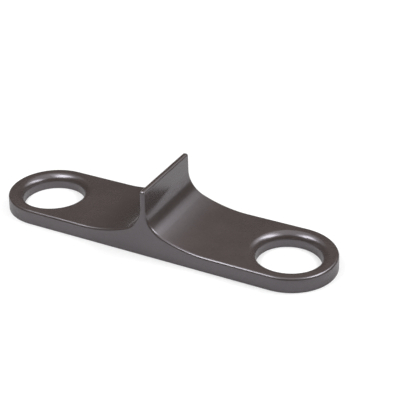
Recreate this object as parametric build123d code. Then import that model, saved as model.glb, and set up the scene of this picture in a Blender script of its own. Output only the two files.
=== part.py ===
from build123d import *
import math
import os

# Sectional sofa connector
#
# One moulded piece that lies on the floor and ties two sofa sections together. A leg of each
# section stands in one of its two round rings, and the thin fin across the middle stands up in
# the seam between the sections.
#
# Frame: millimetres, +Z up, X along the bar, Y across it. The origin is on the floor at the
# middle of the bar, so the part is symmetrical about the XZ and YZ planes.


# Rings and bar
leg_hole_diameter = 50.8    # takes a furniture leg or its foot up to 2 inches across
ring_wall = 12.7            # from the hole to the outside of the ring, at the floor
hole_spacing = 214.0        # centre to centre
bar_thickness = 12.2
side_draft = 2.0            # degrees that every outer side leans in as it rises

# Fin
fin_height = 55.4           # floor to the top of the fin
fin_thickness = 4.8
fin_flat_height = 15.4      # depth of the fin's flat faces, down from the top to the root arcs
root_radius = 21.5          # tight arc at the fin's root
sweep_radius = 106.0        # long arc that runs from the root out to the flat of the bar

# Rounded edges
edge_round = 2.0            # upper outline of the bar, up and over the fin
rim_round = 6.8             # funnel lip round the top of each hole
foot_chamfer = 0.4          # broken edge all round the underside


# Values that follow from the sizes above
hole_radius = leg_hole_diameter / 2
ring_radius = hole_radius + ring_wall
bar_length = hole_spacing + 2 * ring_radius
fin_half = fin_thickness / 2
root_start_height = fin_height - fin_flat_height

# The fin's top edges may not eat the whole of its thickness
fin_edge_round = min(edge_round, 0.45 * fin_thickness)

# Side profile, worked out on the +X half. The root arc is tangent to the fin's flat face, the
# sweep arc is tangent to the flat of the bar, and the two arcs are tangent to each other: the
# root arc lies inside the sweep arc, so their centres are the difference of their radii apart.
root_centre = Vector(fin_half + root_radius, root_start_height)
sweep_centre_height = bar_thickness + sweep_radius
centre_rise = sweep_centre_height - root_start_height
centre_run = math.sqrt((sweep_radius - root_radius) ** 2 - centre_rise**2)
sweep_centre = Vector(root_centre.X + centre_run, sweep_centre_height)
# Angle below the horizontal at which the root arc hands over to the sweep arc
handover_angle = math.degrees(math.atan2(centre_rise, centre_run))


def side_profile():
    """The bar and fin seen from the side, as a face on the XZ plane."""
    with BuildSketch(Plane.XZ) as profile:
        with BuildLine():
            Line((0, 0), (0, fin_height))
            Line((0, fin_height), (fin_half, fin_height))
            Line((fin_half, fin_height), (fin_half, root_start_height))
            root = CenterArc(root_centre, root_radius, 180, handover_angle)
            sweep = CenterArc(sweep_centre, sweep_radius, 180 + handover_angle, 90 - handover_angle)
            flat = Line(sweep @ 1, (bar_length / 2, bar_thickness))
            Line(flat @ 1, (bar_length / 2, 0))
            Line((bar_length / 2, 0), (0, 0))
        make_face()
        mirror(about=Plane.YZ)
    return profile.sketch


def is_upper_outline(edge):
    """True for the edges where the top meets the outer sides, and for the fin's top edges."""
    if edge.bounding_box().min.Z < bar_thickness - 0.01:
        return False
    runs_across = abs((edge @ 1 - edge @ 0).normalized().Y) > 0.999
    return not runs_across or edge.center().Z > fin_height - 0.01


with BuildPart() as connector:
    # Plan outline: a bar with full round ends, raised to the fin's height with drafted sides
    with BuildSketch():
        SlotCenterToCenter(hole_spacing, 2 * ring_radius)
    extrude(amount=fin_height, taper=side_draft)

    # Everything above the side profile is cut away, which leaves the bar, the sweep and the fin
    extrude(side_profile(), amount=ring_radius, both=True, mode=Mode.INTERSECT)

    # One round follows the whole upper outline, along the bar and up over the fin
    fillet(connector.edges().filter_by(is_upper_outline), fin_edge_round)

    # Leg holes, each with a wide rounded lip at the top
    for side in (-1, 1):
        with Locations((side * hole_spacing / 2, 0, 0)):
            Hole(hole_radius)
    hole_edges = connector.edges().filter_by(GeomType.CIRCLE).filter_by(
        lambda edge: abs(edge.radius - hole_radius) < 0.001
    )
    fillet(hole_edges.filter_by_position(Axis.Z, bar_thickness - 0.01, bar_thickness + 0.01), rim_round)

    # The edges on the floor are only broken
    chamfer(connector.edges().filter_by_position(Axis.Z, -0.01, 0.01), foot_chamfer)

body = connector.part
body.label = "connector_body"
body.color = Color(0.30, 0.27, 0.26)

os.makedirs("parts", exist_ok=True)
export_step(body, "parts/connector_body.step")

size = body.bounding_box().size
print(f"overall {size.X:.2f} x {size.Y:.2f} x {size.Z:.2f} mm, volume {body.volume / 1000:.1f} cm3")
print(f"sweep starts {sweep_centre.X:.2f} mm from the middle, arcs meet at {90 - handover_angle:.1f} degrees")
print(f"hole wall that stays straight: {bar_thickness - rim_round - foot_chamfer:.2f} mm")
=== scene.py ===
# %% [markdown]
# # A sectional sofa connector
#
# Two sections of a sofa stand side by side, and this flat bar keeps them from drifting apart: one leg of
# each section stands in one of its round holes, and the thin fin in the middle stands up in the gap
# between the two seats. It is one moulded piece, dark bronze, with a satin skin.
#
# The lesson shapes it the way it could be made by hand in Blender, then gives it its finish, and stands it
# on a white floor under soft studio light. The first cell loads the measured model.

# %% Load the measured model
import bmesh
import bpy
import math
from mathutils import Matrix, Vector


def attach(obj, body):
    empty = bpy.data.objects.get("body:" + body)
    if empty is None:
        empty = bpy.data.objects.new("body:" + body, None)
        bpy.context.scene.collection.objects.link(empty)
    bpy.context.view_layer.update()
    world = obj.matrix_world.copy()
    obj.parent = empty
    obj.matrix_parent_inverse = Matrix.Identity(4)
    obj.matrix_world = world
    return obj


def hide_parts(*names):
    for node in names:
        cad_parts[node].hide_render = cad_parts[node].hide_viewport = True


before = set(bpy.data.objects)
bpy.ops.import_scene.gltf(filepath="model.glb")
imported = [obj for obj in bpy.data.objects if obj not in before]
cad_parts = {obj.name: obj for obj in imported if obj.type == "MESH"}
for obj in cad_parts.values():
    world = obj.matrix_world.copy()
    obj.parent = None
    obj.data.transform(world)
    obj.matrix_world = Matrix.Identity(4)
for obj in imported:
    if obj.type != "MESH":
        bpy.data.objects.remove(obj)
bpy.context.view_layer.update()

# %% [markdown]
# ## Main sizes
#
# Blender works in metres here. X runs along the bar, Y across it, and Z is up from the floor. The sizes
# could be read off the measured model's mesh. They are written out instead, as the same values that it was
# drawn from, so the new piece needs no fitting and each number has a name. These few give the part its
# bulk. Each smaller size comes in the step that needs it.

# %% Main sizes
ring_radius = 0.0381
hole_spacing = 0.214
bar_half = hole_spacing / 2 + ring_radius
bar_thickness = 0.0122
fin_height = 0.0554
wall_slope = math.radians(2.0)
print(f"bar: {2000 * bar_half:.1f} x {2000 * ring_radius:.1f} mm, {1000 * bar_thickness:.1f} mm thick")
print(f"fin: {1000 * fin_height:.1f} mm high")

# %% [markdown]
# ## A few small helpers
#
# A modelling operator acts on whatever is selected, so each step first says which piece is open for
# editing, and then picks points or edges. By hand that is a click, and in a script it is a test of where
# they are. Points within a thousandth of a millimetre of each other count as being in one place.
#
# The last helper counts the edges that don't have a face on each side, which is how a gap in a mesh shows.

# %% Helpers for picking and checking
same_place = 1e-6


def make_active(piece):
    bpy.ops.object.select_all(action="DESELECT")
    piece.select_set(True)
    bpy.context.view_layer.objects.active = piece


def open_piece(piece, kind):
    make_active(piece)
    bpy.ops.object.mode_set(mode="EDIT")
    bpy.ops.mesh.select_mode(type=kind)
    bpy.ops.mesh.select_all(action="DESELECT")


def pick_points(piece, wanted):
    mesh = bmesh.from_edit_mesh(piece.data)
    for point in mesh.verts:
        point.select_set(wanted(point.co))
    mesh.select_flush_mode()
    bmesh.update_edit_mesh(piece.data)


def pick_edges(piece, wanted):
    mesh = bmesh.from_edit_mesh(piece.data)
    for edge in mesh.edges:
        edge.select_set(False)
    chosen = [edge for edge in mesh.edges if wanted(edge)]
    for edge in chosen:
        edge.select_set(True)
    bmesh.update_edit_mesh(piece.data)
    return len(chosen)


def open_edges(mesh):
    return sum(len(edge.link_faces) != 2 for edge in mesh.edges)


print(f"points within {same_place * 1000:.3f} mm count as one place")

# %% [markdown]
# ## The blank: the bar's outline, as high as the fin
#
# From above, the bar is a long plate with half-round ends. A moulded piece has to slide out of its mould,
# so its side walls lean in by two degrees. That slope carries on up the ends of the fin, which makes the
# fin a little narrower at its top than at its foot.
#
# A flat rectangle is drawn first, and its four corners are bevelled by the full half width, which turns
# each end into a half circle. Inset with a depth then lifts the outline and draws it in at once, so one
# operator gives the whole leaning wall. The blank is made higher than the fin, and the next step trims it.

# %% The blank
margin = 0.005
bpy.ops.object.select_all(action="DESELECT")
bpy.ops.mesh.primitive_plane_add(size=1, location=(0, 0, 0))
connector = bpy.context.object
connector.name = "connector"
connector.scale = (2 * bar_half, 2 * ring_radius, 1)
bpy.ops.object.transform_apply(location=True, rotation=True, scale=True)

open_piece(connector, "VERT")
bpy.ops.mesh.select_all(action="SELECT")
bpy.ops.mesh.bevel(offset=ring_radius, segments=32, affect="VERTICES", profile=0.5)
bpy.ops.mesh.select_all(action="SELECT")
bpy.ops.mesh.remove_doubles(threshold=same_place)
bpy.ops.mesh.select_mode(type="FACE")
bpy.ops.mesh.select_all(action="SELECT")
lift = fin_height + margin
bpy.ops.mesh.inset(thickness=lift * math.tan(wall_slope), depth=lift, use_even_offset=True)
bpy.ops.mesh.select_mode(type="VERT")
pick_points(connector, lambda at: at.z < same_place)
bpy.ops.mesh.edge_face_add()
bpy.ops.mesh.select_all(action="SELECT")
bpy.ops.mesh.normals_make_consistent(inside=False)
bpy.ops.object.mode_set(mode="OBJECT")
print("blank:", len(connector.data.polygons), "faces,", [round(size, 4) for size in connector.dimensions])

# %% [markdown]
# ## The line of the side view
#
# This is the line that gives the part its look, and the one that takes the most care. Seen from the front,
# the top of the bar is flat, then climbs into the fin on two arcs: a long shallow one, and a tight one
# that ends upright on the fin's face.
#
# Drawn by eye, the arcs would meet in a faint corner, and satin shows such a corner at once. Two arcs run
# smoothly into one another where both centres and the meeting point lie on one line. That is enough to
# work out where the long arc's centre is, and how far each arc turns, from the radii and the heights.

# %% The arcs of the sweep
fin_half = 0.0024
root_height = 0.040
root_radius = 0.0215
sweep_radius = 0.106

root_x = fin_half + root_radius
sweep_z = bar_thickness + sweep_radius
rise = sweep_z - root_height
sweep_x = root_x + math.sqrt((sweep_radius - root_radius) ** 2 - rise**2)
root_turn = math.atan2(rise, sweep_x - root_x)
sweep_turn = math.pi / 2 - root_turn
print(f"the sweep meets the flat {sweep_x * 1000:.1f} mm from the middle")
print(f"the tight arc turns {math.degrees(root_turn):.1f} degrees")
print(f"the long arc turns {math.degrees(sweep_turn):.1f} degrees")

# %% [markdown]
# ## The side view, one half
#
# A small block stands for the fin, and only its top and its outer face are kept. The lower edge of that
# face is spun round the centre of the tight arc, and then round the centre of the long arc. The arcs could
# be drawn point by point, but a spin round the true centre leaves no corner where one takes over from the
# other. The last edge is drawn out along the flat, then down, then back to the middle, a little past the
# bar on every side so that the next cut is clean.
#
# Only the right half is made here, since the left one is its mirror image.

# %% The side view, one half
across = ring_radius + margin
bpy.ops.object.select_all(action="DESELECT")
bpy.ops.mesh.primitive_cube_add(size=1, location=(fin_half / 2, 0, (fin_height + root_height) / 2))
side_view = bpy.context.object
side_view.name = "side_view"
side_view.scale = (fin_half, 2 * across, fin_height - root_height)
bpy.ops.object.transform_apply(location=True, rotation=True, scale=True)

open_piece(side_view, "FACE")
mesh = bmesh.from_edit_mesh(side_view.data)
for face in mesh.faces:
    middle = face.calc_center_median()
    inner = middle.x < same_place
    lower = middle.z < root_height + same_place
    front_or_back = abs(face.normal.y) > 0.9
    face.select_set(inner or lower or front_or_back)
bmesh.update_edit_mesh(side_view.data)
bpy.ops.mesh.delete(type="FACE")

bpy.ops.mesh.select_mode(type="EDGE")
pick_edges(side_view, lambda edge: all(point.co.z < root_height + same_place for point in edge.verts))
bpy.ops.mesh.spin(steps=32, angle=root_turn, center=(root_x, 0, root_height), axis=(0, 1, 0))
bpy.ops.mesh.spin(steps=20, angle=sweep_turn, center=(sweep_x, 0, sweep_z), axis=(0, 1, 0))
to_the_end = bar_half + margin
for along, down in ((to_the_end - sweep_x, 0), (0, -bar_thickness - margin), (-to_the_end, 0)):
    bpy.ops.mesh.extrude_region_move(TRANSFORM_OT_translate={"value": (along, 0, down)})
bpy.ops.object.mode_set(mode="OBJECT")
print("half of the side view:", len(side_view.data.polygons), "faces")

# %% [markdown]
# ## The side view, mirrored and closed
#
# The real part is the same on both sides of its fin. The left half could be spun in the same way, but a
# Mirror modifier makes it exactly alike and welds the halves along the middle. The front and the back of
# the block are still open. Each is filled with one face, and then all the faces are turned outwards.

# %% The side view, mirrored and closed
mirror = side_view.modifiers.new("mirror", "MIRROR")
mirror.use_axis = (True, False, False)
mirror.merge_threshold = same_place
bpy.ops.object.modifier_apply(modifier="mirror")

open_piece(side_view, "VERT")
for end in (-1, 1):
    pick_points(side_view, lambda at: at.y * end > across - same_place)
    bpy.ops.mesh.edge_face_add()
bpy.ops.mesh.select_all(action="SELECT")
bpy.ops.mesh.normals_make_consistent(inside=False)
print("side view: open edges", open_edges(bmesh.from_edit_mesh(side_view.data)))
bpy.ops.object.mode_set(mode="OBJECT")

# %% [markdown]
# ## Cutting the blank to shape
#
# What the blank and the side view have in common is the connector, still without its holes. Two round
# tools then cut the holes for the legs. Each cut could be drawn into the mesh by hand, face by face. A
# Boolean modifier works it out exactly, and the tool is thrown away.
#
# The cuts leave some flat places in several pieces. Limited Dissolve melts faces that lie in one plane
# into one, so that the rounding of the edges has clean faces to work with.

# %% Cut the blank
hole_radius = 0.0254
drill_length = 0.04
flat_turn = math.radians(0.05)


def cut(piece, tool, operation):
    make_active(piece)
    step = piece.modifiers.new("cut", "BOOLEAN")
    step.operation = operation
    step.solver = "EXACT"
    step.object = tool
    bpy.ops.object.modifier_apply(modifier=step.name)
    bpy.data.objects.remove(tool)


cut(connector, side_view, "INTERSECT")
for side in (-1, 1):
    centre = (side * hole_spacing / 2, 0, 0)
    bpy.ops.object.select_all(action="DESELECT")
    bpy.ops.mesh.primitive_cylinder_add(vertices=128, radius=hole_radius, depth=drill_length, location=centre)
    cut(connector, bpy.context.object, "DIFFERENCE")

open_piece(connector, "VERT")
bpy.ops.mesh.select_all(action="SELECT")
bpy.ops.mesh.remove_doubles(threshold=same_place)
bpy.ops.mesh.dissolve_limited(angle_limit=flat_turn, delimit=set())
mesh = bmesh.from_edit_mesh(connector.data)
print("cut to shape:", len(mesh.faces), "faces, open edges", open_edges(mesh))
bpy.ops.object.mode_set(mode="OBJECT")

# %% [markdown]
# ## Telling the edges apart
#
# Three kinds of edge are rounded on the real piece: its upper outline, the rims of its holes, and its foot.
# By hand each would be picked with a click on its loop. Here three tests find them, by their height, by
# how sharply the surface turns there, and by how far they are from the nearest hole. Unlike a click, such
# tests go on working when a size is changed.

# %% A test for each kind of edge
sharp_turn = math.radians(30)
height_slack = 0.00001
clear_of_hole = 0.002
at_hole = 0.0001


def off_hole(point):
    centre = Vector((math.copysign(hole_spacing / 2, point.co.x), 0))
    return (point.co.xy - centre).length - hole_radius


def on_outline(edge):
    low = min(point.co.z for point in edge.verts)
    if low < bar_thickness - height_slack or edge.calc_face_angle(0) < sharp_turn:
        return False
    return min(off_hole(point) for point in edge.verts) > clear_of_hole


def on_rim(edge):
    near_hole = all(abs(off_hole(point)) < at_hole for point in edge.verts)
    return near_hole and all(abs(point.co.z - bar_thickness) < same_place for point in edge.verts)


def on_foot(edge):
    return all(abs(point.co.z) < same_place for point in edge.verts) and edge.calc_face_angle(0) > sharp_turn


print(f"an edge is sharp where the surface turns by {math.degrees(sharp_turn):.0f} degrees or more")

# %% [markdown]
# ## Rounding the edges
#
# The highlights in the photograph run along the rounded edges, so these decide how the part reads.
#
# - One small round follows the whole upper outline: along the bar, up the sweep and over the fin.
# - Each hole has a broad, soft rim that guides the leg in. Below it only 5 mm of straight wall is left.
# - The foot keeps almost its full edge. Only a hair of it is broken, so that it isn't sharp to the hand.
#
# A round could be drawn as strips of faces. Bevel makes it from the sharp edge, with an even radius all
# the way round, and leaves the walls where they are. It measures how far it reaches across a face. On the
# leaning walls the corner is two degrees more than square, so the reach is the radius times the tangent
# of 44 degrees rather than 45.

# %% Round each kind of edge
edge_round = 0.0020
rim_round = 0.0068
foot_chamfer = 0.0004
roundings = (
    ("upper outline", on_outline, edge_round * math.tan(math.radians(45) - wall_slope / 2), 8),
    ("hole rims", on_rim, rim_round, 16),
    ("foot", on_foot, foot_chamfer, 2),
)
open_piece(connector, "EDGE")
for name, wanted, reach, steps in roundings:
    count = pick_edges(connector, wanted)
    bpy.ops.mesh.bevel(
        offset=reach, offset_type="OFFSET", segments=steps, profile=0.5, affect="EDGES", clamp_overlap=False
    )
    print(f"{name}: {count} edges rounded, reach {reach * 1000:.2f} mm")
bpy.ops.mesh.select_all(action="SELECT")
bpy.ops.mesh.remove_doubles(threshold=2 * same_place)
bpy.ops.mesh.normals_make_consistent(inside=False)
mesh = bmesh.from_edit_mesh(connector.data)
print("open edges:", open_edges(mesh))
print(f"volume: {mesh.calc_volume() * 1e6:.1f} cubic centimetres")
bpy.ops.object.mode_set(mode="OBJECT")

# %% [markdown]
# ## Even shading
#
# The mesh is flat facets, and the light has to glide over them as over one skin. Many more facets would
# do it, but shading does it for nothing. Smooth shading by angle blends the facets of each round and keeps
# the flats apart. The Weighted Normal modifier then lets the large faces decide the shading where they
# meet a round, so the flats stay flat right up to the edge.

# %% Even shading
crease = math.radians(40)
bpy.ops.object.shade_smooth_by_angle(angle=crease)
even = connector.modifiers.new("even", "WEIGHTED_NORMAL")
even.keep_sharp = True
even.weight = 100
bpy.ops.object.modifier_apply(modifier=even.name)
print("connector:", len(connector.data.polygons), "faces")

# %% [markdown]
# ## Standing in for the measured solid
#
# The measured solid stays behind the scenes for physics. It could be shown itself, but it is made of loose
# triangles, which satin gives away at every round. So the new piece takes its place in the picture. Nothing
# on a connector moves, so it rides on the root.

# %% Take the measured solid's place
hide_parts("connector_body")
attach(connector, "root")

# %% [markdown]
# ## The bronze satin skin
#
# The real piece is coloured right through: a dark warm brown that reads as bronze, under a silky skin
# whose highlights are wide and slightly cool. Close up such a skin is never quite even. One flat colour
# would look like a drawing, and a picture of the surface would be too coarse from near, so the colour
# comes from three noises, which stay sharp at any distance. They read Object coordinates, which are
# metres, so their scale is real.
#
# - The clouds are a few centimetres wide, where the moulding flowed and cooled. They shift the colour and
#   the gloss a little.
# - The speckle is a millimetre or two wide. It varies the colour by a few percent, and the gloss a little.
# - The tooth is finer still, like eggshell. It is too small for colour, and only lifts the surface.

# %% Material: three noises
bronze = bpy.data.materials.new("bronze_satin")
bronze.use_nodes = True
nodes, links = bronze.node_tree.nodes, bronze.node_tree.links
shader = nodes["Principled BSDF"]
place = nodes.new("ShaderNodeTexCoord")


def noise(name, grains_per_metre, detail, roughness):
    cloud = nodes.new("ShaderNodeTexNoise")
    cloud.name = name
    cloud.inputs["Scale"].default_value = grains_per_metre
    cloud.inputs["Detail"].default_value = detail
    cloud.inputs["Roughness"].default_value = roughness
    links.new(place.outputs["Object"], cloud.inputs["Vector"])
    return cloud.outputs["Fac"]


def spread(value, low, high):
    # nearly all of a noise lies between 0.3 and 0.7
    scale = nodes.new("ShaderNodeMapRange")
    for socket, level in (("From Min", 0.3), ("From Max", 0.7), ("To Min", low), ("To Max", high)):
        scale.inputs[socket].default_value = level
    links.new(value, scale.inputs["Value"])
    return scale.outputs["Result"]


clouds = noise("clouds", grains_per_metre=38, detail=3, roughness=0.55)
tooth = noise("tooth", grains_per_metre=1500, detail=2, roughness=0.6)
speckle = noise("speckle", grains_per_metre=620, detail=3, roughness=0.65)
print("noises:", [node.name for node in nodes if node.type == "TEX_NOISE"])

# %% [markdown]
# ## The skin's colour
#
# Dark bronze plastic is hardly a colour at all: a deep brown with a little more red than green and blue.
# A colour ramp could hold it. A mix of two shades says the same more plainly, and the clouds lead from the
# deeper shade to the lighter one. The speckle then multiplies the result by a little more or less than one.

# %% Material: colour
deep_bronze = (0.069, 0.0552, 0.0520, 1)
light_bronze = (0.079, 0.0632, 0.0596, 1)
tone = nodes.new("ShaderNodeMix")
tone.data_type = "RGBA"
tone.inputs["A"].default_value = deep_bronze
tone.inputs["B"].default_value = light_bronze
links.new(spread(clouds, 0, 1), tone.inputs["Factor"])
fleck = nodes.new("ShaderNodeMix")
fleck.data_type = "RGBA"
fleck.blend_type = "MULTIPLY"
fleck.inputs["Factor"].default_value = 1
links.new(tone.outputs["Result"], fleck.inputs["A"])
links.new(spread(speckle, 0.93, 1.07), fleck.inputs["B"])
links.new(fleck.outputs["Result"], shader.inputs["Base Color"])
print("colour nodes:", len(nodes))

# %% [markdown]
# ## The skin's gloss and tooth
#
# Satin lies between a mirror and chalk. With one roughness all over it would look like a coat of varnish,
# so the clouds and the speckle each move the roughness a little around a quarter. The tooth and the
# speckle together drive a bump of a few thousandths of a millimetre. That is too shallow to see as relief,
# but it roughens the edge of each highlight as the real skin does.
#
# The highlights are strong for such a dark plastic, and a little cool, so the index of refraction and the
# specular level are above the usual, and the specular tint leans to blue.

# %% Material: gloss and tooth
gloss = nodes.new("ShaderNodeMath")
gloss.operation = "ADD"
links.new(spread(clouds, 0.225, 0.255), gloss.inputs[0])
links.new(spread(speckle, -0.012, 0.012), gloss.inputs[1])
links.new(gloss.outputs["Value"], shader.inputs["Roughness"])
shader.inputs["IOR"].default_value = 1.64
shader.inputs["Specular IOR Level"].default_value = 1.0
shader.inputs["Specular Tint"].default_value = (0.93, 0.90, 1.0, 1)

relief = nodes.new("ShaderNodeMath")
relief.operation = "ADD"
links.new(tooth, relief.inputs[0])
links.new(speckle, relief.inputs[1])
bump = nodes.new("ShaderNodeBump")
bump.inputs["Strength"].default_value = 0.3
bump.inputs["Distance"].default_value = 0.000004
links.new(relief.outputs["Value"], bump.inputs["Height"])
links.new(bump.outputs["Normal"], shader.inputs["Normal"])

connector.data.materials.clear()
connector.data.materials.append(bronze)
print("material:", bronze.name, "with", len(nodes), "nodes")

# %% [markdown]
# ## A white floor
#
# A product studio lays a roll of white paper under the object and lets it curve up behind. A flat sheet is
# enough here, because the room beyond its rim is made as white to the eye as the paper is. It is round,
# eight metres across, and lies a hair below the foot so that the two surfaces don't fight.

# %% White floor
floor_radius = 4
below_foot = 0.0001
bpy.ops.object.select_all(action="DESELECT")
bpy.ops.mesh.primitive_circle_add(
    vertices=96, radius=floor_radius, fill_type="NGON", location=(0, 0, -below_foot)
)
floor = bpy.context.object
floor.name = "floor"
print("floor:", [round(size, 1) for size in floor.dimensions])

# %% [markdown]
# ## White paper
#
# The paper is matte, pale and even, so one plain tone is all that it needs, and no shine. The tone is a
# light grey, because some of its white comes from the glow that the next step adds.

# %% White paper
paper = bpy.data.materials.new("white_paper")
paper.use_nodes = True
nodes, links = paper.node_tree.nodes, paper.node_tree.links
shader = nodes["Principled BSDF"]
shader.inputs["Base Color"].default_value = (0.62, 0.62, 0.62, 1)
shader.inputs["Roughness"].default_value = 1
shader.inputs["Specular IOR Level"].default_value = 0
shader.inputs["Emission Color"].default_value = (1, 1, 1, 1)
floor.data.materials.append(paper)
print("paper tone:", round(shader.inputs["Base Color"].default_value[0], 2))

# %% [markdown]
# ## The paper's glow
#
# Lamps that leave the bronze its true colour leave the paper light grey, and greyer far away. Stronger
# lamps would whiten it, but they would bleach the bronze too, so the paper glows instead. It glows only
# where it is looked at or mirrored, and lights nothing.
#
# - To the eye the glow is faint beside the object, where the soft shadow falls, and full white 35 cm away.
# - In the satin it starts further out and stays weak, since the room beyond real paper is dim.

# %% The paper's glow
rays = nodes.new("ShaderNodeLightPath")
place = nodes.new("ShaderNodeTexCoord")
away = nodes.new("ShaderNodeVectorMath")
away.operation = "LENGTH"
links.new(place.outputs["Object"], away.inputs[0])


def ease(near, far, low, high):
    step = nodes.new("ShaderNodeMapRange")
    step.interpolation_type = "SMOOTHSTEP"
    for socket, level in (("From Min", near), ("From Max", far), ("To Min", low), ("To Max", high)):
        step.inputs[socket].default_value = level
    links.new(away.outputs["Value"], step.inputs["Value"])
    return step.outputs["Result"]


def combine(operation, first, second):
    step = nodes.new("ShaderNodeMath")
    step.operation = operation
    links.new(first, step.inputs[0])
    links.new(second, step.inputs[1])
    return step.outputs["Value"]


white_further_out = ease(near=0.09, far=0.35, low=0.33, high=1.00)
to_the_eye = combine("MULTIPLY", rays.outputs["Is Camera Ray"], white_further_out)
mirrored = combine("MAXIMUM", rays.outputs["Is Glossy Ray"], rays.outputs["Is Transmission Ray"])
lit_paper = ease(near=0.20, far=1.00, low=0.00, high=0.40)
dim_rim = ease(near=1.00, far=2.50, low=1.00, high=0.80)
in_the_satin = combine("MULTIPLY", mirrored, combine("MULTIPLY", lit_paper, dim_rim))
links.new(combine("ADD", to_the_eye, in_the_satin), shader.inputs["Emission Strength"])
print("paper:", len(nodes), "nodes")

# %% [markdown]
# ## Two soft boxes overhead
#
# Satin shows its lamps as broad glows, so the highlights tell where the lamps hang. A mirror can be held to
# each bright spot of the photograph in thought: the far rim of either hole shows two glows side by side,
# and both point up, to the same two patches some 60 cm above the floor, left and right of the camera's
# line. The gap between them is dim but not dark. The flats mirror the space behind the object, and they
# are dark, so nothing bright hangs there except one strip at the right, which the sweep shows.
#
# A cloth-covered soft box is brightest in the middle, and one plain lamp would show as an even patch with a
# hard edge. Each box is therefore three sheets, a wide weak one, a smaller one below it, and a small bright
# one, which together fall off towards the edge as the cloth does.
#
# Each sheet is given by its left, right, near and far edge in metres, as the camera sees them, and its
# watts. They all face down. Each hangs a centimetre below the one before, because a reflection only meets
# one of two sheets that lie in the very same plane.

# %% Panels
camera_side = math.radians(29.6)
panel_height = 0.6
drop = 0.01
panels = (
    ("right_box", 0.22, 0.95, -0.56, 0.44, 0.9),
    ("right_core", 0.28, 0.72, -0.42, 0.38, 1.8),
    ("right_hot", 0.37, 0.62, -0.33, 0.17, 2.4),
    ("left_box", -0.50, -0.04, -0.50, 0.56, 0.7),
    ("left_core", -0.48, -0.08, -0.38, 0.24, 1.1),
    ("left_hot", -0.42, -0.16, -0.30, 0.10, 1.9),
    ("middle", -0.04, 0.22, -0.40, 0.40, 0.5),
    ("far_strip", 0.30, 1.00, 0.36, 0.53, 0.36),
)
across_view = Vector((math.cos(camera_side), math.sin(camera_side), 0))
into_view = Vector((-math.sin(camera_side), math.cos(camera_side), 0))
for step, (name, left, right, near, far, power) in enumerate(panels):
    lamp = bpy.data.lights.new(name, "AREA")
    lamp.shape = "RECTANGLE"
    lamp.size = right - left
    lamp.size_y = far - near
    lamp.energy = power
    holder = bpy.data.objects.new(name, lamp)
    bpy.context.scene.collection.objects.link(holder)
    middle = (left + right) / 2 * across_view + (near + far) / 2 * into_view
    holder.location = middle + Vector((0, 0, panel_height - drop * step))
    holder.rotation_euler = (0, 0, camera_side)
    holder.visible_camera = False
print("panels:", len(panels), "total power", round(sum(panel[-1] for panel in panels), 1), "W")

# %% [markdown]
# ## A dim room
#
# Around the lamps the studio is almost dark, which is what keeps the flats of the bronze deep. A bright
# world would be simpler, and would wash them out. Only to the camera, where it looks past the paper's rim,
# is the room white, so that the paper seems to have no end.

# %% The room
room_level = 0.01
world = bpy.data.worlds.new("room")
bpy.context.scene.world = world
world.use_nodes = True
nodes, links = world.node_tree.nodes, world.node_tree.links
background = nodes["Background"]
background.inputs["Color"].default_value = (1, 1, 1, 1)
rays = nodes.new("ShaderNodeLightPath")
dim_room = nodes.new("ShaderNodeMath")
dim_room.operation = "MAXIMUM"
dim_room.inputs[1].default_value = room_level
links.new(rays.outputs["Is Camera Ray"], dim_room.inputs[0])
links.new(dim_room.outputs["Value"], background.inputs["Strength"])
print("light from the room:", room_level)

# %% [markdown]
# ## The camera
#
# The camera stands in front and to the right, a little over 30 degrees above the floor. By hand it would be
# nudged until the render lies on the photograph. Here its place and lens were fitted to the outlines of the
# holes, the bar and the fin, which comes to the same and is finer. It is level but for half a degree.

# %% Camera
lens = bpy.data.cameras.new("camera")
lens.sensor_width = 36
lens.lens = 96.66
lens.clip_start = 0.01
camera = bpy.data.objects.new("camera", lens)
bpy.context.scene.collection.objects.link(camera)
camera.location = (0.36375, -0.64121, 0.45295)
camera.rotation_euler = [math.radians(turn) for turn in (60.119, 0.507, 27.141)]
bpy.context.scene.camera = camera
bpy.context.scene.view_settings.view_transform = "Standard"
print("camera distance:", round(camera.location.length, 3), "m")
